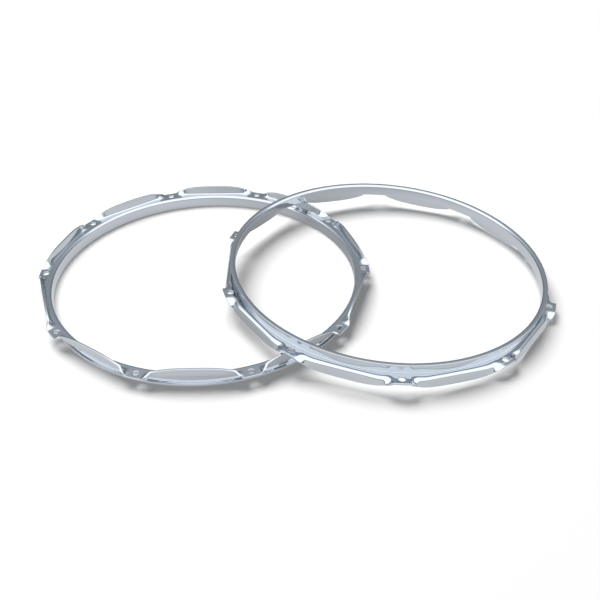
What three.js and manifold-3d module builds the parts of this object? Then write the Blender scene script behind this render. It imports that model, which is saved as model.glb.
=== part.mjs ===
// A pair of 14 inch drum hoops, each one strip of steel, pressed, rolled, butt welded and chrome plated.
// The lower hoop lies upside down on its lip, and the upper hoop leans on it, right side up.
// Lengths are in millimetres and +Z is up. The origin is on the floor under the middle of the pair.

import * as THREE from 'three';
import { mergeVertices } from 'three/addons/utils/BufferGeometryUtils.js';
import Module from 'manifold-3d';

const wasm = await Module();
wasm.setup();

// The rolled section: lip, wall and foot. Bend radii are to the middle of the sheet.
const sheet = 2.3;
const wallBore = 360;
const lipWidth = 6; // from the wall's inner face, as all the widths and settings here
const lipHeight = 14.3; // from the middle of the ears' sheet to the top of the lip
const lipBend = 2;
const footBend = 2.2;

// The skirt's panels, flat between their bends: the shoulder, the free edge and the bend at a panel's middle.
const shoulderFlat = 0.55;
const skirtBend = 3.45; // from the fold to where the sheet is straight again, on either side
const skirtWidth = 9.55;
const skirtDrop = 12.1;
const cornerDrop = 7.8; // of the free edge at the panel's corners
const bowPower = 3.2; // how fast the edge runs from the corner's drop to the panel's

// The ears and their holes. Spans along the ring are measured on the hole circle, from the ear's middle.
const lugs = 10;
const earWidth = 18.5;
const holeSetting = 11;
const rodHole = 7;
const earHalfWidth = 8.7;
const earCornerSoft = 1.3;

// The gussets: each twists from the flat of the ear, at the ear's side, to the panel.
const foldAtEdge = 16.7; // where the gusset and the panel meet at the free edge
const foldAtShoulder = 24; // where they meet at the fold line
const foldSoft = 1.3; // of the panel's corner
const rootSetting = 8.7; // of the fold line at the ear's side
const gussetPower = 1.8; // how late the gusset's free edge turns in to the panel

// How the pair lies. The upper hoop's lean follows from what it rests on.
const centreDistance = 217.6;
const bearing = -2.3; // of the upper hoop's centre from the lower one's, in degrees from +X
const lowerTurn = 1.5;
const upperTurn = 17.8;
const seatGap = 0.3;

// How finely the ring is divided, as shares of the ear, of the gusset's free edge and of the rest
// of half a panel.
const earShares = [0.85];
const gussetShares = [0.12, 0.5, 0.85];
const panelShares = [0.03, 0.17, 0.4, 0.7];
const bendSteps = 2;
const holeSides = 16;
const ridgeSteps = 8;
const leanRounds = 8;
const cutOverrun = 3;

const degree = Math.PI / 180;
const up = new THREE.Vector3(0, 0, 1);

// What the widths make the hoop measure across.
const lipDiameter = wallBore + 2 * lipWidth;
const skirtDiameter = wallBore + 2 * skirtWidth;
const earDiameter = wallBore + 2 * earWidth;
const holeCircle = wallBore + 2 * holeSetting;

// Radii and heights of the sheet's middle, with the ears at nought.
const halfSheet = sheet / 2;
const wallRadius = wallBore / 2 + halfSheet;
const lipRadius = lipDiameter / 2;
const lipLevel = lipHeight - halfSheet;
const shoulderStart = wallRadius + footBend;
const earRadius = earDiameter / 2;
const skirtRadius = skirtDiameter / 2 - halfSheet;
const holeRadius = holeCircle / 2;
const rootRadius = wallBore / 2 + rootSetting;

// The spans along the ring as angles about the hoop's axis.
const pitch = (2 * Math.PI) / lugs;
const halfPitch = pitch / 2;
const earAngle = earHalfWidth / holeRadius;
const earSoftAngle = earCornerSoft / holeRadius;
const cornerAngle = foldAtEdge / holeRadius;
const cornerSoftAngle = foldSoft / holeRadius;
const apexAngle = foldAtShoulder / holeRadius;

// The skirt folds where the panel, at its middle, meets the plane of the ears.
const foldRadius = shoulderStart + shoulderFlat + skirtBend;
const panelLean = Math.atan2(skirtRadius - foldRadius, skirtDrop);

function polar(radius, angle, height) {
  return new THREE.Vector3(radius * Math.cos(angle), radius * Math.sin(angle), height);
}

// The middle of the panel's sheet, as a plane that faces out.
const panelFacing = polar(Math.cos(panelLean), halfPitch, Math.sin(panelLean));
const panelFoot = polar(skirtRadius, halfPitch, -skirtDrop);
const panelFlat = new THREE.Plane().setFromNormalAndCoplanarPoint(panelFacing, panelFoot);

// How far from the hoop's axis the panel lies, at an angle and a height.
function panelRadius(angle, height) {
  return -(panelFlat.constant + panelFlat.normal.z * height) / panelFlat.normal.dot(polar(1, angle, 0));
}

const cornerRadius = panelRadius(cornerAngle, -cornerDrop);
const apexRadius = panelRadius(apexAngle, 0);

// Nought up to minus the reach, the value itself from plus the reach, and a parabola between.
function soften(value, reach) {
  if (value <= -reach) {
    return 0;
  }
  if (value >= reach) {
    return value;
  }
  return (value + reach) ** 2 / (4 * reach);
}

// The free edge of ear, gusset and panel, at an angle from the nearest ear's middle.
// It drops evenly from the ear's corner to the panel's and then follows the flat of the panel.
function freeEdge(off) {
  const past = soften(off - cornerAngle, cornerSoftAngle);
  const down = (soften(off - earAngle, earSoftAngle) - past) / (cornerAngle - earAngle);
  const left = Math.max(1 - past / (halfPitch - cornerAngle), 0);
  const bow = (1 - left ** bowPower) * (skirtDrop - cornerDrop);
  const along = panelRadius(cornerAngle + past, -cornerDrop - bow) - cornerRadius;
  const radius = earRadius + down ** gussetPower * (cornerRadius - earRadius) + along;
  return polar(radius, off, -down * cornerDrop - bow);
}

// The line that the strip folds over at, from the ear's side to the panel and along it.
function foldPoint(off) {
  const share = THREE.MathUtils.clamp((off - earAngle) / (apexAngle - earAngle), 0, 1);
  const radius = share < 1 ? THREE.MathUtils.lerp(rootRadius, apexRadius, share) : panelRadius(off, 0);
  return polar(radius, off, 0);
}

// A point of the strip's middle, a way from the fold line, less than nought on the shoulder.
// Outside the fold the sheet runs straight to the free edge, and round it follows a parabola.
function stripPoint(off, way) {
  const fold = foldPoint(off);
  const inwards = polar(-1, off, 0);
  const outwards = freeEdge(off).sub(fold).normalize();
  const before = (Math.max(skirtBend - way, 0) - Math.max(-skirtBend - way, 0)) ** 2 / (4 * skirtBend);
  const after = (Math.max(skirtBend + way, 0) - Math.max(way - skirtBend, 0)) ** 2 / (4 * skirtBend);
  return fold
    .addScaledVector(inwards, before + Math.max(-skirtBend - way, 0))
    .addScaledVector(outwards, after + Math.max(way - skirtBend, 0));
}

// The normal of the sheet there, square to the section and to the way round the ring.
function stripNormal(off, way) {
  const nudge = foldSoft / 1000;
  const turn = nudge / holeRadius;
  const along = stripPoint(off, way + nudge).sub(stripPoint(off, way - nudge));
  const around = stripPoint(off + turn, way).sub(stripPoint(off - turn, way));
  return along.cross(around).normalize();
}

// A quarter bend of the rolled section: points of the middle line and their normals,
// on an arc about a centre, between two headings. A bend to the left has its centre on the left.
function bendPoints(centreRadius, centreHeight, radius, from, to) {
  const side = Math.sign(to - from);
  const points = [];
  for (let step = 0; step <= bendSteps; step += 1) {
    const heading = from + ((to - from) * step) / bendSteps;
    points.push({
      radius: centreRadius + side * radius * Math.sin(heading),
      height: centreHeight - side * radius * Math.cos(heading),
      heading,
    });
  }
  return points;
}

// The part of the section that is the same all round, from the lip's edge to the shoulder.
function rolledPoints(off) {
  const inwards = Math.PI;
  const downwards = 1.5 * Math.PI;
  const outwards = 2 * Math.PI;
  const line = [
    { radius: lipRadius, height: lipLevel, heading: inwards },
    ...bendPoints(wallRadius + lipBend, lipLevel - lipBend, lipBend, inwards, downwards),
    ...bendPoints(wallRadius + footBend, footBend, footBend, downwards, outwards),
  ];
  return line.map(({ radius, height, heading }) => ({
    middle: polar(radius, off, height),
    normal: polar(-Math.sin(heading), off, Math.cos(heading)),
  }));
}

// The strip outside it: rows before the fold's bend, on it, past it and at the free edge.
function stripPoints(off) {
  const reach = freeEdge(off).distanceTo(foldPoint(off));
  return [-skirtBend, 0, skirtBend, reach].map((way) => ({
    middle: stripPoint(off, way),
    normal: stripNormal(off, way),
  }));
}

// The two faces of the sheet at one station: half a sheet to each side of the middle, along its
// normal. The two halves of an ear mirror each other.
function stationFaces(turn) {
  const off = Math.abs(turn);
  const mirror = new THREE.Vector3(1, Math.sign(turn), 1);
  const line = [...rolledPoints(off), ...stripPoints(off)];
  return {
    outer: line.map(({ middle, normal }) => middle.clone().addScaledVector(normal, halfSheet).multiply(mirror)),
    inner: line.map(({ middle, normal }) => middle.clone().addScaledVector(normal, -halfSheet).multiply(mirror)),
  };
}

// Angles of the stations from the ear's middle, up to the middle of the panel.
function stationTurns() {
  const half = [
    ...earShares.map((share) => share * earAngle),
    ...gussetShares.map((share) => earAngle + share * (cornerAngle - earAngle)),
    ...panelShares.map((share) => cornerAngle + share * (halfPitch - cornerAngle)),
  ];
  return [...half.map((turn) => -turn).reverse(), ...half, halfPitch];
}

// Every station of the ring, each a closed loop of points round the section.
function ringLoops() {
  const turns = stationTurns();
  const faces = turns.map(stationFaces);
  const loops = [];
  for (let lug = 0; lug < lugs; lug += 1) {
    faces.forEach(({ outer, inner }, index) => {
      const loop = [...outer, ...inner.slice().reverse()];
      loops.push({
        turn: turns[index],
        points: loop.map((point) => point.clone().applyAxisAngle(up, lug * pitch)),
      });
    });
  }
  return loops;
}

// The closed skin of the ring. Each quad is cut so that the two sides of an ear mirror each other.
function ringGeometry(loops) {
  const size = loops[0].points.length;
  const positions = loops.flatMap(({ points }) => points.flatMap((point) => point.toArray()));
  const index = [];
  loops.forEach(({ turn }, station) => {
    const next = (station + 1) % loops.length;
    for (let place = 0; place < size; place += 1) {
      const ahead = (place + 1) % size;
      const a = station * size + place;
      const b = station * size + ahead;
      const c = next * size + ahead;
      const d = next * size + place;
      const quad = turn < 0 ? [a, b, c, a, c, d] : [a, b, d, b, c, d];
      index.push(...quad);
    }
  });
  const geometry = new THREE.BufferGeometry();
  geometry.setAttribute('position', new THREE.Float32BufferAttribute(positions, 3));
  geometry.setIndex(index);
  return geometry;
}

function solidOf(geometry) {
  geometry.deleteAttribute('normal');
  geometry.deleteAttribute('uv');
  const merged = mergeVertices(geometry);
  return new wasm.Manifold(
    new wasm.Mesh({
      numProp: 3,
      vertProperties: new Float32Array(merged.attributes.position.array),
      triVerts: new Uint32Array(merged.index.array),
    }),
  );
}

function geometryOf(solid) {
  const mesh = solid.getMesh();
  const geometry = new THREE.BufferGeometry();
  geometry.setAttribute('position', new THREE.Float32BufferAttribute(mesh.vertProperties, 3));
  geometry.setIndex(new THREE.Uint32BufferAttribute(mesh.triVerts, 1));
  geometry.computeVertexNormals();
  return geometry;
}

// A round cutter on an ear's middle, upright, past both faces of the sheet.
function holeCutter(lug) {
  const cutter = new THREE.CylinderGeometry(rodHole / 2, rodHole / 2, sheet + 2 * cutOverrun, holeSides);
  cutter.rotateX(Math.PI / 2);
  cutter.translate(holeRadius, 0, 0);
  cutter.rotateZ(lug * pitch);
  return solidOf(cutter);
}

function hoopGeometry(loops) {
  let hoop = solidOf(ringGeometry(loops));
  for (let lug = 0; lug < lugs; lug += 1) {
    hoop = hoop.subtract(holeCutter(lug));
  }
  return geometryOf(hoop);
}

function chromeHoop(name, geometry) {
  const chrome = new THREE.MeshStandardMaterial({ color: 0xc3ccd4, roughness: 0.08, metalness: 1 });
  const hoop = new THREE.Mesh(geometry, chrome);
  hoop.name = name;
  return hoop;
}

// Points along the lower hoop's free edge, on both corners of the sheet: the ridge that carries.
function ridgePoints(loops, matrix) {
  const place = loops[0].points.length / 2;
  const points = [];
  loops.forEach(({ points: here }, station) => {
    const next = loops[(station + 1) % loops.length].points;
    for (const corner of [place - 1, place]) {
      for (let step = 0; step < ridgeSteps; step += 1) {
        const point = here[corner].clone().lerp(next[corner], step / ridgeSteps);
        points.push(point.applyMatrix4(matrix));
      }
    }
  });
  return points;
}

function lowestPoint(mesh) {
  const positions = mesh.geometry.attributes.position;
  let lowest = new THREE.Vector3(0, 0, Infinity);
  for (let index = 0; index < positions.count; index += 1) {
    const point = new THREE.Vector3().fromBufferAttribute(positions, index).applyMatrix4(mesh.matrixWorld);
    lowest = point.z < lowest.z ? point : lowest;
  }
  return lowest;
}

// The least upright gap between some ridge points and the underside of a hoop above them.
function leastGap(points, hoop) {
  const ray = new THREE.Raycaster();
  let least = { gap: Infinity, point: null };
  for (const point of points) {
    ray.set(new THREE.Vector3(point.x, point.y, -lipHeight), up);
    const hit = ray.intersectObject(hoop)[0];
    if (hit && hit.point.z - point.z < least.gap) {
      least = { gap: hit.point.z - point.z, point };
    }
  }
  return least;
}

// Leans a hoop until its skirt stands on the floor and it lies the seat's gap above the ridge,
// at the near crossing and at the far one. Each round corrects the two slopes by what is left.
function leanOn(stand, hoop, ridge) {
  const centre = stand.position.clone();
  const near = ridge.filter((point) => point.y < centre.y);
  const far = ridge.filter((point) => point.y >= centre.y);
  const slope = new THREE.Vector2();
  for (let round = 0; round < leanRounds; round += 1) {
    const axis = new THREE.Vector3(-slope.x, -slope.y, 1).normalize();
    stand.quaternion.setFromUnitVectors(up, axis);
    stand.position.copy(centre);
    stand.updateMatrixWorld(true);
    const foot = lowestPoint(hoop);
    stand.position.z -= foot.z;
    stand.updateMatrixWorld(true);
    const [one, two] = [near, far].map((points) => leastGap(points, hoop));
    const [ax, ay] = [one.point.x - foot.x, one.point.y - foot.y];
    const [bx, by] = [two.point.x - foot.x, two.point.y - foot.y];
    const oneLift = seatGap - one.gap;
    const twoLift = seatGap - two.gap;
    const span = ax * by - ay * bx;
    slope.x += (oneLift * by - twoLift * ay) / span;
    slope.y += (ax * twoLift - bx * oneLift) / span;
  }
}

const loops = ringLoops();
const shape = hoopGeometry(loops);

const lowerHoop = chromeHoop('lower_hoop', shape);
lowerHoop.rotation.x = Math.PI;
const lowerStand = new THREE.Group();
lowerStand.position.z = lipHeight;
lowerStand.rotation.z = lowerTurn * degree;
lowerStand.add(lowerHoop);
lowerStand.updateMatrixWorld(true);

const upperHoop = chromeHoop('upper_hoop', shape.clone());
upperHoop.rotation.z = upperTurn * degree;
const upperStand = new THREE.Group();
upperStand.position.copy(polar(centreDistance, bearing * degree, 0));
upperStand.add(upperHoop);
const under = ridgePoints(loops, lowerHoop.matrixWorld).filter((point) => {
  const distance = Math.hypot(point.x - upperStand.position.x, point.y - upperStand.position.y);
  return distance > wallBore / 2 - sheet && distance < earRadius + sheet;
});
leanOn(upperStand, upperHoop, under);

const pair = new THREE.Group();
pair.add(lowerStand, upperStand);
pair.updateMatrixWorld(true);
const box = new THREE.Box3().setFromObject(pair, true);
const middle = box.getCenter(new THREE.Vector3());
pair.position.set(-middle.x, -middle.y, -box.min.z);
pair.updateMatrixWorld(true);

export default pair;
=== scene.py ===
import math

import bpy
import numpy as np
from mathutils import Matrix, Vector


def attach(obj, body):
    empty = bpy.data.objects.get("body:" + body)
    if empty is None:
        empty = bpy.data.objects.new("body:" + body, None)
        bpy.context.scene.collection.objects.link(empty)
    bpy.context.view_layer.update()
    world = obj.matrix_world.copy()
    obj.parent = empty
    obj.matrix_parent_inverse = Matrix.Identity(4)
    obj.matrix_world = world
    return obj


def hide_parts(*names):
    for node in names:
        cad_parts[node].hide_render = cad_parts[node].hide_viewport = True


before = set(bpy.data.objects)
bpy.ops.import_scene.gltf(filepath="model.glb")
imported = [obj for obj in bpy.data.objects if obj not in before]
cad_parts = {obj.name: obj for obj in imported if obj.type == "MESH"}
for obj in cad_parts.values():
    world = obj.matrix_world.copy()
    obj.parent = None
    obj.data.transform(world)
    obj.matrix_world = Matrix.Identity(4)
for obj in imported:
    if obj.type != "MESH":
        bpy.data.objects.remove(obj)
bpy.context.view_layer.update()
print("frame loaded:", sorted(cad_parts))

mm = 0.001

# One pressed hoop, in millimetres, right side up, its ears' sheet in the plane z = 0.
hoopSizes = {
    "sheet": 2.3,
    "wallBore": 360.0,
    "lipWidth": 6.0,         # widths and settings are from the wall's inner face
    "lipHeight": 14.3,
    "lipBend": 2.0,
    "footBend": 2.2,
    "lugs": 10,
    "earWidth": 18.35,       # the solids' ears end in a chord, 0.15 mm inside their corners
    "earHalfWidth": 8.7,     # spans along the ring, on the hole circle, from the ear's middle
    "holeSetting": 11.0,
    "rodHole": 7.0,
    "rootSetting": 8.7,      # of the fold line at the ear's side
    "gussetPower": 1.8,      # how late the gusset's free edge turns in to the panel
    "cornerSpan": 16.7,      # where gusset and panel meet at the free edge
    "cornerDrop": 7.8,
    "apexSpan": 24.0,        # where they meet at the fold line
    "panelWidth": 9.55,      # the panel's outer face at its free edge, in its middle
    "panelDrop": 12.1,
    "panelBow": 3.2,
    "shoulderFlat": 0.55,
    "skirtBend": 3.45,       # from the fold line to where the sheet is straight again
    "cornerSoft": 1.3,
    "edgeRound": 0.35,       # the sheared edges, tumbled before plating
    "holeRound": 0.4,
    "probe": 0.01,           # the step over which directions on the sheet are measured
}

# How finely the skin is divided: cells across each stretch.
hoopCells = {
    "holeSide": 12,
    "holeToEar": 5,
    "gusset": 16,
    "crease": 5,
    "halfPanel": 12,
    "lipFlat": 2,
    "bend": 6,
    "wall": 3,
    "shoulderToHole": 7,
    "holeToEdge": 5,
    "edgeArc": 3,
    "holeArc": 3,
}


def soften(value, reach):
    # Nought up to minus the reach, the value itself from plus the reach, a parabola between.
    bent = (value + reach) ** 2 / (4 * reach)
    return np.where(value <= -reach, 0.0, np.where(value >= reach, value, bent))


def derivedSizes(s):
    # The sizes with what follows from them: radii from the widths off the wall's inner face, and
    # angles from the spans, each divided by the hole circle's radius.
    half = s["sheet"] / 2
    bore = s["wallBore"] / 2
    hole = bore + s["holeSetting"]
    start = bore + half + s["footBend"]
    fold = start + s["shoulderFlat"] + s["skirtBend"]
    reach = bore + s["panelWidth"] - half
    d = {
        **s,
        "half": half,
        "wallRadius": bore + half,
        "lipRadius": bore + s["lipWidth"],
        "lipLevel": s["lipHeight"] - half,
        "shoulderStart": start,
        "earRadius": bore + s["earWidth"],
        "holeRadius": hole,
        "rootRadius": bore + s["rootSetting"],
        "halfPitch": math.pi / s["lugs"],
        "earAngle": s["earHalfWidth"] / hole,
        "cornerAngle": s["cornerSpan"] / hole,
        "apexAngle": s["apexSpan"] / hole,
        "softAngle": s["cornerSoft"] / hole,
        "foldRadius": fold,
        "panelLean": (reach - fold) / s["panelDrop"],
        "stripWidth": bore + s["earWidth"] - start,      # of the ear, from the foot's bend out
        "holeAt": hole - start,
        "holeRim": s["rodHole"] / 2 + s["holeRound"],
    }
    d["cornerRadius"] = panelRadius(d, d["cornerAngle"], -s["cornerDrop"])
    d["apexRadius"] = panelRadius(d, d["apexAngle"], 0.0)
    return d


def spot(radius, angle, height):
    # points at a distance from the axis, an angle about it and a height
    return np.stack(np.broadcast_arrays(radius * np.cos(angle), radius * np.sin(angle), height), -1)


def panelRadius(s, angle, height):
    # how far out the panel's flat lies, at an angle from the ear's middle and a height
    return (s["foldRadius"] - height * s["panelLean"]) / np.cos(s["halfPitch"] - angle)


def freeEdge(s, off):
    # The edge drops evenly from the ear's corner to the panel's, and then follows the flat of the
    # panel, where its drop bows as a power of what is left of the way.
    past = soften(off - s["cornerAngle"], s["softAngle"])
    down = (soften(off - s["earAngle"], s["softAngle"]) - past) / (s["cornerAngle"] - s["earAngle"])
    left = np.clip(1 - past / (s["halfPitch"] - s["cornerAngle"]), 0, 1)
    bow = (1 - left ** s["panelBow"]) * (s["panelDrop"] - s["cornerDrop"])
    along = panelRadius(s, s["cornerAngle"] + past, -s["cornerDrop"] - bow) - s["cornerRadius"]
    inwards = np.maximum(down, 0) ** s["gussetPower"]
    radius = s["earRadius"] + inwards * (s["cornerRadius"] - s["earRadius"]) + along
    return radius, -down * s["cornerDrop"] - bow


def foldRadius(s, off):
    # how far out the strip folds over, from the ear's side to the panel and along it
    share = np.clip((off - s["earAngle"]) / (s["apexAngle"] - s["earAngle"]), 0, 1)
    inGusset = s["rootRadius"] + share * (s["apexRadius"] - s["rootRadius"])
    return np.where(share < 1, inGusset, panelRadius(s, off, 0.0))


def stripPoint(s, off, share):
    # A place on the strip is a share of the way from the foot to the free edge, by the fold line.
    # With b the bend's reach and w the way from the fold, the bend is the parabola that lies
    # (b - w)^2 / 4b inwards and (b + w)^2 / 4b outwards of the fold.
    fold = foldRadius(s, off)
    edgeRadius, edgeHeight = freeEdge(s, off)
    reach = np.hypot(edgeRadius - fold, edgeHeight)
    shoulder = fold - s["shoulderStart"]
    way = share * (shoulder + reach) - shoulder
    b = s["skirtBend"]
    before = np.clip(b - way, 0, 2 * b) ** 2 / (4 * b) + np.maximum(-b - way, 0)
    after = np.clip(b + way, 0, 2 * b) ** 2 / (4 * b) + np.maximum(way - b, 0)
    return fold - before + after * (edgeRadius - fold) / reach, after * edgeHeight / reach


def rolledEnds(s):
    # how far from the lip's edge, along the section, the lip's flat ends, its bend, the wall and
    # the foot's bend
    lipFlat = s["lipRadius"] - s["wallRadius"] - s["lipBend"]
    wallFlat = s["lipLevel"] - s["lipBend"] - s["footBend"]
    return np.cumsum([lipFlat, s["lipBend"] * math.pi / 2, wallFlat, s["footBend"] * math.pi / 2])


def rolledLine(s, place):
    # The part of the section that is the same all round, by distance from the lip's edge:
    # straight in along the lip, a quarter bend, down the wall, and a quarter bend out at the foot.
    ends = rolledEnds(s)
    a = (place - ends[0]) / s["lipBend"]
    b = (place - ends[2]) / s["footBend"]
    lipX, lipZ = s["wallRadius"] + s["lipBend"], s["lipLevel"] - s["lipBend"]
    footX, footZ = s["wallRadius"] + s["footBend"], s["footBend"]
    pieces = [place < ends[0], place < ends[1], place < ends[2]]
    radius = np.select(
        pieces,
        [s["lipRadius"] - place, lipX - s["lipBend"] * np.sin(a), s["wallRadius"] + 0 * place],
        footX - s["footBend"] * np.cos(b))
    height = np.select(
        pieces,
        [s["lipLevel"] + 0 * place, lipZ + s["lipBend"] * np.cos(a), lipZ - (place - ends[1])],
        footZ - s["footBend"] * np.sin(b))
    return radius, height


def middlePoint(s, turn, place):
    # A point of the sheet's middle: the rolled line up to its end, and then the strip,
    # whose places are that end and a share of the strip.
    length = rolledEnds(s)[-1]
    rolledRadius, rolledHeight = rolledLine(s, np.minimum(place, length))
    radius, height = stripPoint(s, np.abs(turn), np.clip(place - length, 0, None))
    onStrip = place > length
    return spot(np.where(onStrip, radius, rolledRadius), turn, np.where(onStrip, height, rolledHeight))


def middleFrame(s, turn, place):
    # The middle point, the way in the sheet that is square to the way round the ring, and the
    # sheet's normal. The ways along the section and round the ring are differences over a small step.
    step = s["probe"]
    turnStep = step / s["holeRadius"]
    along = middlePoint(s, turn, place + step) - middlePoint(s, turn, place - step)
    around = middlePoint(s, turn + turnStep, place) - middlePoint(s, turn - turnStep, place)
    normal = np.cross(along, around)
    normal /= np.linalg.norm(normal, axis=-1, keepdims=True)
    square = np.cross(around, normal)
    square /= np.linalg.norm(square, axis=-1, keepdims=True)
    return middlePoint(s, turn, place), square, normal


def spaced(stretches):
    # Places at even steps in each stretch (start, end, cells), without the last end.
    return np.concatenate([np.linspace(a, b, n, endpoint=False) for a, b, n in stretches])


def pitchStations(s, c):
    # Angles of the stations round one pitch, from the middle of one panel to the next, with the
    # ear in between, and which station is the ear's middle.
    rim = s["holeRim"]
    creaseEnd = s["cornerAngle"] + 2 * s["softAngle"]
    half = np.concatenate([
        spaced([(0, rim, c["holeSide"] // 2), (rim, s["earHalfWidth"], c["holeToEar"])]) / s["holeRadius"],
        spaced([(s["earAngle"], s["cornerAngle"], c["gusset"]), (s["cornerAngle"], creaseEnd, c["crease"]),
                (creaseEnd, s["halfPitch"], c["halfPanel"])]),
    ])
    return np.concatenate([[-s["halfPitch"]], -half[:0:-1], half]), len(half)


def sectionRows(s, c):
    # Rows along the section: millimetres on the rolled part, then its length and a share of the
    # strip. The second result is how many are on the rolled part.
    ends = rolledEnds(s)
    edge, rim, holeAt, width = s["edgeRound"], s["holeRim"], s["holeAt"], s["stripWidth"]
    rolled = spaced([
        (edge, ends[0], c["lipFlat"]), (ends[0], ends[1], c["bend"]),
        (ends[1], ends[2], c["wall"]), (ends[2], ends[3], c["bend"]),
    ])
    strip = spaced([
        (0, holeAt - rim, c["shoulderToHole"]), (holeAt - rim, holeAt + rim, c["holeSide"]),
        (holeAt + rim, width - edge, c["holeToEdge"]),
    ])
    strip = np.append(strip, width - edge) / width
    return np.concatenate([rolled, ends[-1] + strip]), len(rolled)


def roundTheHole(s, turns, places):
    # The square of cells round the hole is drawn in to a circle, and the pull fades out to the
    # grid's own squares by three times its square less twice its cube.
    length = rolledEnds(s)[-1]
    x = turns * s["holeRadius"]
    y = (places - length) * s["stripWidth"] - s["holeAt"]
    square = np.maximum(np.abs(x), np.abs(y))
    far = min(s["holeAt"], s["stripWidth"] - s["edgeRound"] - s["holeAt"])
    fade = np.clip((square - s["holeRim"]) / (far - s["holeRim"]), 0, 1)
    fade = fade * fade * (3 - 2 * fade)
    pull = fade + (1 - fade) * square / np.maximum(np.hypot(x, y), np.finfo(float).tiny)
    near = (square < far) & (places > length)
    turns = np.where(near, x * pull / s["holeRadius"], turns)
    places = np.where(near, length + (y * pull + s["holeAt"]) / s["stripWidth"], places)
    return turns, places


def sheetEnd(s, radius, cells, base, way, up):
    # Rows from one face of the sheet to the other, round its end: a quarter arc from each face to
    # the square end between them.
    a = np.linspace(0, math.pi / 2, cells + 1)[1:]
    out = radius * np.sin(a)
    level = s["half"] - radius + radius * np.cos(a)
    out = np.concatenate([out, out[::-1]])
    level = np.concatenate([level, -level[::-1]])
    return base[:, None] + way[:, None] * out[None, :, None] + up[:, None] * level[None, :, None]


def roundTheRing(s, points):
    # the points of one pitch, a grid of them, once for each ear
    spin = np.arange(s["lugs"])[:, None, None] * 2 * s["halfPitch"]
    x, y, z = (points[None, ..., k] for k in range(3))
    return np.stack([
        x * np.cos(spin) - y * np.sin(spin),
        x * np.sin(spin) + y * np.cos(spin),
        np.broadcast_to(z, (s["lugs"], *z.shape[1:])),
    ], -1)


def hoopSkin(s, c):
    # The closed skin of one hoop: a ring of loops round the section, with the cells over each hole
    # left out, and a tube through each hole.
    s = derivedSizes(s)
    turns, earStation = pitchStations(s, c)
    places, rolledRows = sectionRows(s, c)
    point, section, normal = middleFrame(s, *roundTheHole(s, *np.meshgrid(turns, places, indexing="ij")))
    outer = point + normal * s["half"]
    inner = point - normal * s["half"]
    edge, arc = s["edgeRound"], c["edgeArc"]
    skirtEdge = sheetEnd(s, edge, arc, point[:, -1], section[:, -1], normal[:, -1])
    lipEdge = sheetEnd(s, edge, arc, point[:, 0], -section[:, 0], normal[:, 0])[:, ::-1]
    loop = np.concatenate([outer, skirtEdge, inner[:, ::-1], lipEdge], axis=1)

    lugs = s["lugs"]
    stations, rows = loop.shape[:2]
    count = lugs * stations
    i = np.arange(count)[:, None]
    j = np.arange(rows)[None, :]
    quads = np.stack([
        i * rows + j, i * rows + (j + 1) % rows,
        (i + 1) % count * rows + (j + 1) % rows, (i + 1) % count * rows + j], -1)

    # the cells inside the hole's square come out, on both faces
    cells = c["holeSide"]
    firstStation = earStation - cells // 2
    firstRow = rolledRows + c["shoulderToHole"]
    lastOuter = outer.shape[1] - 1
    innerRow = 2 * lastOuter + skirtEdge.shape[1] + 1 - firstRow
    keep = np.ones((lugs, stations, rows), bool)
    keep[:, firstStation:firstStation + cells, firstRow:firstRow + cells] = False
    keep[:, firstStation:firstStation + cells, innerRow - cells:innerRow] = False
    quads = quads[keep.reshape(count, rows)]

    # the rim of that square, once round, as steps of station and row
    run = np.arange(cells)
    end = np.full(cells, cells)
    start = np.zeros(cells, int)
    rimStation = firstStation + np.concatenate([run, end, cells - run, start])
    rimStep = np.concatenate([start, run, end, cells - run])
    base = point[rimStation, firstRow + rimStep]
    way = base.mean(0) - base
    way /= np.linalg.norm(way, axis=-1, keepdims=True)
    wall = sheetEnd(s, s["holeRound"], c["holeArc"], base, way, normal[rimStation, firstRow + rimStep])
    rim, depth = wall.shape[:2]
    lug = np.arange(lugs)[:, None]
    top = (lug * stations + rimStation[None]) * rows + firstRow + rimStep[None]
    bottom = (lug * stations + rimStation[None]) * rows + innerRow - rimStep[None]
    place = lug[..., None] * rim + np.arange(rim)[None, :, None]
    between = count * rows + place * depth + np.arange(depth)
    columns = np.concatenate([top[..., None], between, bottom[..., None]], -1)
    beside = np.roll(columns, -1, axis=1)
    tube = np.stack([columns[..., :-1], columns[..., 1:], beside[..., 1:], beside[..., :-1]], -1)

    vertices = np.concatenate([roundTheRing(s, grid).reshape(-1, 3) for grid in (loop, wall)])
    quads = np.concatenate([quads.reshape(-1, 4), tube.reshape(-1, 4)])
    used, packed = np.unique(quads, return_inverse=True)
    return vertices[used] * mm, packed.reshape(-1, 4)


# How a solid's place is read from its corners, in metres.
poseReading = {"places": 6, "earDepth": 0.2 * mm}


def hoopPose(node, upsideDown):
    # A node's place from its own corners: the axis is the way the ring is thinnest,
    # the ears' plane and their turn come from the corners that lie farthest out.
    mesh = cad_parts[node].data
    co = np.empty(len(mesh.vertices) * 3)
    mesh.vertices.foreach_get("co", co)
    co = np.unique(np.round(co.reshape(-1, 3), poseReading["places"]), axis=0)
    centre = co.mean(0)
    axis = np.linalg.eigh(np.cov((co - centre).T))[1][:, 0]
    axis *= np.sign(axis[2]) * (-1 if upsideDown else 1)
    aside = np.cross([0.0, 1.0, 0.0], axis)
    aside /= np.linalg.norm(aside)
    axes = np.stack([aside, np.cross(axis, aside), axis], 1)
    local = (co - centre) @ axes
    reach = np.hypot(local[:, 0], local[:, 1])
    ears = local[reach > reach.max() - poseReading["earDepth"]]
    lugs = hoopSizes["lugs"]
    turn = np.angle(np.exp(1j * lugs * np.arctan2(ears[:, 1], ears[:, 0])).sum()) / lugs
    earPlane = (ears[:, 2].min() + ears[:, 2].max()) / 2
    spin = np.array([[math.cos(turn), -math.sin(turn), 0], [math.sin(turn), math.cos(turn), 0], [0, 0, 1]])
    return axes @ spin, centre + axis * earPlane


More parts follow.
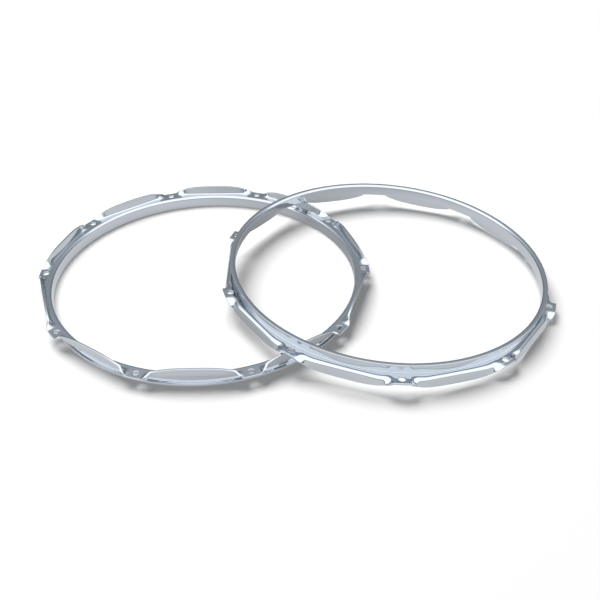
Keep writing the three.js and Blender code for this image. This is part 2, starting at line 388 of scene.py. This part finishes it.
def meshPiece(name, vertices, quads, material):
    # an object at the origin, with its place in its mesh, smooth all over
    mesh = bpy.data.meshes.new(name)
    mesh.vertices.add(len(vertices))
    mesh.vertices.foreach_set("co", vertices.astype(np.float32).ravel())
    mesh.loops.add(quads.size)
    mesh.loops.foreach_set("vertex_index", quads.astype(np.int32).ravel())
    mesh.polygons.add(len(quads))
    mesh.polygons.foreach_set("loop_start", np.arange(0, quads.size, 4, dtype=np.int32))
    mesh.polygons.foreach_set("loop_total", np.full(len(quads), 4, np.int32))
    mesh.update(calc_edges=True)
    mesh.validate()
    mesh.shade_smooth()
    mesh.materials.append(material)
    piece = bpy.data.objects.new(name, mesh)
    bpy.context.scene.collection.objects.link(piece)
    return piece


def linear(code):
    # an sRGB hex colour as linear red, green, blue and alpha
    parts = [int(code[k:k + 2], 16) / 255 for k in (1, 3, 5)]
    return [p / 12.92 if p <= 0.04045 else ((p + 0.055) / 1.055) ** 2.4 for p in parts] + [1.0]


def addNode(tree, kind, settings=None, links=None):
    # one node, its settings by socket or attribute name, and its links as socket: (node, output)
    node = tree.nodes.new(kind)
    for key, value in (settings or {}).items():
        if isinstance(key, int) or key in node.inputs:
            node.inputs[key].default_value = value
        else:
            setattr(node, key, value)
    for key, (other, output) in (links or {}).items():
        tree.links.new(other.outputs[output], node.inputs[key])
    return node


def chromePlatedPressedSteel():
    # Bright chrome over nickel on pressed strip: a cool mirror, very slightly wavy where the
    # press drew the sheet, with the faint grain of the rolled strip under the plate.
    look = {
        "plate": "#CAD0D7",
        "roughness": 0.05,
        "waveLength": 9 * mm,
        "waveHeight": 0.012 * mm,
    }
    material = bpy.data.materials.new("chromePlatedPressedSteel")
    material.use_nodes = True
    tree = material.node_tree
    tree.nodes.clear()
    place = addNode(tree, "ShaderNodeTexCoord")
    wave = addNode(tree, "ShaderNodeTexNoise", {"Scale": 1 / look["waveLength"], "Detail": 1.0},
                   {"Vector": (place, "Object")})
    bump = addNode(tree, "ShaderNodeBump", {"Strength": 1.0, "Distance": look["waveHeight"]},
                   {"Height": (wave, "Fac")})
    shader = addNode(tree, "ShaderNodeBsdfPrincipled",
                     {"Base Color": linear(look["plate"]), "Metallic": 1.0, "Roughness": look["roughness"]},
                     {"Normal": (bump, "Normal")})
    addNode(tree, "ShaderNodeOutputMaterial", links={"Surface": (shader, "BSDF")})
    return material


chrome = chromePlatedPressedSteel()
skinVertices, skinQuads = hoopSkin(hoopSizes, hoopCells)
print("hoop skin:", len(skinVertices), "points,", 2 * len(skinQuads), "triangles")

centres = {}
for node, body, name, upsideDown in (
    ("lower_hoop", "lower", "lowerHoopPlated", True),
    ("upper_hoop", "upper", "upperHoopPlated", False),
):
    turned, centre = hoopPose(node, upsideDown)
    centres[node] = centre
    piece = meshPiece(name, skinVertices @ turned.T + centre, skinQuads, chrome)
    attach(piece, body)
    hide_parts(node)
    print(name, "centre", np.round(centre, 6), "axis", np.round(turned[:, 2], 6))

# The studio: a white floor and a soft key light from the back left. Over the front and the top
# hangs a long white tent, and behind it the room is grey, so the plate has something to show.
studio = {
    "floorColour": "#F8F8F8",
    "floorSize": 6.0,
    "floorLift": 0.10,
    # the floor in the plate is a glow with painted shade, darker near the middle of the pair
    "floorInPlatePaintedShade": (0.36, 0.79),        # how bright, at the first of these radii and the second
    "floorInPlateRadii": (0.10, 0.22),
    "floorInPlateShare": 0.85,
    "floorFade": (0.40, 0.80),           # between these radii the floor turns plain white
    "fill": 0.14,
    "tentStrength": 1.6,
    "tentStops": (                       # from the front horizon, over the top, to the back horizon
        (0.00, "#30383F"),
        (0.03, "#4A545D"),
        (0.07, "#FFFFFF"),
        (0.62, "#FFFFFF"),
        (0.70, "#B4B9BD"),
        (0.80, "#83878B"),
        (0.95, "#62666A"),
        (1.00, "#30383F"),
    ),
    "keyPlace": (-1.8, 2.1, 5.1),
    "keySize": 4.6,
    "keyPower": 392.0,
}


def whereSeen(tree):
    # one for rays from the camera and for what the plate mirrors, nought for all others
    path = addNode(tree, "ShaderNodeLightPath")
    shown = addNode(tree, "ShaderNodeMath", {"operation": "MAXIMUM"})
    tree.links.new(path.outputs["Is Camera Ray"], shown.inputs[0])
    tree.links.new(path.outputs["Is Glossy Ray"], shown.inputs[1])
    return path, shown


def makeFloor():
    # White paper with a little glow of its own, which turns to plain white away from the pair.
    half = studio["floorSize"] / 2
    mesh = bpy.data.meshes.new("floor")
    corners = [(-half, -half, 0), (half, -half, 0), (half, half, 0), (-half, half, 0)]
    mesh.from_pydata(corners, [], [(0, 1, 2, 3)])
    floor = bpy.data.objects.new("floor", mesh)
    bpy.context.scene.collection.objects.link(floor)
    paper = bpy.data.materials.new("mattStudioPaper")
    paper.use_nodes = True
    tree = paper.node_tree
    tree.nodes.clear()
    path, shown = whereSeen(tree)
    lift = addNode(tree, "ShaderNodeMath", {"operation": "MULTIPLY", 1: studio["floorLift"]},
                   {0: (shown, 0)})
    matt = addNode(tree, "ShaderNodeBsdfDiffuse", {"Color": linear(studio["floorColour"])})
    glow = addNode(tree, "ShaderNodeEmission", links={"Strength": (lift, 0)})
    lit = addNode(tree, "ShaderNodeAddShader", links={0: (matt, 0), 1: (glow, 0)})
    place = addNode(tree, "ShaderNodeTexCoord")
    radius = addNode(tree, "ShaderNodeVectorMath", {"operation": "LENGTH"}, {0: (place, "Object")})
    away = addNode(tree, "ShaderNodeMapRange",
                   {"From Min": studio["floorFade"][0], "From Max": studio["floorFade"][1]},
                   {"Value": (radius, "Value")})
    share = addNode(tree, "ShaderNodeMath", {"operation": "MULTIPLY"},
                    {0: (away, "Result"), 1: (shown, 0)})
    white = addNode(tree, "ShaderNodeEmission", {"Strength": 1.0})
    wide = addNode(tree, "ShaderNodeMixShader", links={0: (share, 0), 1: (lit, 0), 2: (white, 0)})
    # the plate shows the floor mostly without its shadow, as a glow with painted shade that is greyer near
    # the middle of the pair
    evenShare = addNode(tree, "ShaderNodeMath", {"operation": "MULTIPLY", 1: studio["floorInPlateShare"]},
                        {0: (path, "Is Glossy Ray")})
    paintedShadeRamp = addNode(tree, "ShaderNodeMapRange",
                  {"From Min": studio["floorInPlateRadii"][0], "From Max": studio["floorInPlateRadii"][1],
                   "To Min": studio["floorInPlatePaintedShade"][0], "To Max": studio["floorInPlatePaintedShade"][1]},
                  {"Value": (radius, "Value")})
    # the glow the plate shows for the floor, with painted shade from the ramp above
    even = addNode(tree, "ShaderNodeEmission", links={"Strength": (paintedShadeRamp, "Result")})
    both = addNode(tree, "ShaderNodeMixShader", links={0: (evenShare, 0), 1: (wide, 0), 2: (even, 0)})
    addNode(tree, "ShaderNodeOutputMaterial", links={"Surface": (both, 0)})
    mesh.materials.append(paper)


def makeWorld():
    world = bpy.data.worlds.new("studioRoom")
    bpy.context.scene.world = world
    world.use_nodes = True
    tree = world.node_tree
    tree.nodes.clear()
    way = addNode(tree, "ShaderNodeTexCoord")
    parts = addNode(tree, "ShaderNodeSeparateXYZ", links={"Vector": (way, "Generated")})
    front = addNode(tree, "ShaderNodeMath", {"operation": "MULTIPLY", 1: -1.0}, {0: (parts, "Y")})
    swing = addNode(tree, "ShaderNodeMath", {"operation": "ARCTAN2"}, {0: (parts, "Z"), 1: (front, 0)})
    share = addNode(tree, "ShaderNodeMath", {"operation": "DIVIDE", 1: math.pi}, {0: (swing, 0)})
    tent = addNode(tree, "ShaderNodeValToRGB", links={"Fac": (share, 0)})
    stops = tent.color_ramp.elements
    while len(stops) < len(studio["tentStops"]):
        stops.new(0.5)
    for stop, (place, colour) in zip(stops, studio["tentStops"]):
        stop.position = place
        stop.color = linear(colour)
    room = addNode(tree, "ShaderNodeBackground", {"Strength": studio["tentStrength"]},
                   {"Color": (tent, "Color")})
    fill = addNode(tree, "ShaderNodeBackground", {"Color": linear("#FFFFFF"), "Strength": studio["fill"]})
    white = addNode(tree, "ShaderNodeBackground", {"Color": linear("#FFFFFF"), "Strength": 1.0})
    # what the plate throws on to the floor is the same plain fill
    path = addNode(tree, "ShaderNodeLightPath")
    direct = addNode(tree, "ShaderNodeMath", {"operation": "LESS_THAN", 1: 0.5},
                     {0: (path, "Diffuse Depth")})
    inPlate = addNode(tree, "ShaderNodeMath", {"operation": "MULTIPLY"},
                      {0: (path, "Is Glossy Ray"), 1: (direct, 0)})
    mirrored = addNode(tree, "ShaderNodeMixShader", links={0: (inPlate, 0), 1: (fill, 0), 2: (room, 0)})
    seen = addNode(tree, "ShaderNodeMixShader",
                   links={0: (path, "Is Camera Ray"), 1: (mirrored, 0), 2: (white, 0)})
    addNode(tree, "ShaderNodeOutputWorld", links={"Surface": (seen, 0)})


def makeKeyLamp():
    # it points at the middle of the floor, and the plate doesn't show it
    data = bpy.data.lights.new("keyLamp", "AREA")
    data.shape = "DISK"
    data.size = studio["keySize"]
    data.energy = studio["keyPower"]
    lamp = bpy.data.objects.new("keyLamp", data)
    bpy.context.scene.collection.objects.link(lamp)
    lamp.location = studio["keyPlace"]
    lamp.rotation_euler = (-Vector(studio["keyPlace"])).to_track_quat("-Z", "Y").to_euler()
    lamp.visible_glossy = False


makeFloor()
makeWorld()
makeKeyLamp()
print("studio made")

# The camera of the photograph, placed from the lower hoop's centre.
view = {
    "fromLowerCentre": (0.11418, -0.80390, 0.56290),
    "aimFromLowerCentre": (0.11418, -0.05665, 0.0),
    "lens": 48.74,
    "sensor": 36.0,
}


def makeCamera():
    data = bpy.data.cameras.new("camera")
    data.lens = view["lens"]
    data.sensor_width = view["sensor"]
    camera = bpy.data.objects.new("camera", data)
    bpy.context.scene.collection.objects.link(camera)
    base = Vector(centres["lower_hoop"])
    camera.location = base + Vector(view["fromLowerCentre"])
    aim = base + Vector(view["aimFromLowerCentre"])
    camera.rotation_euler = (aim - camera.location).to_track_quat("-Z", "Y").to_euler()
    bpy.context.scene.camera = camera


makeCamera()
bpy.context.scene.view_settings.view_transform = "Standard"
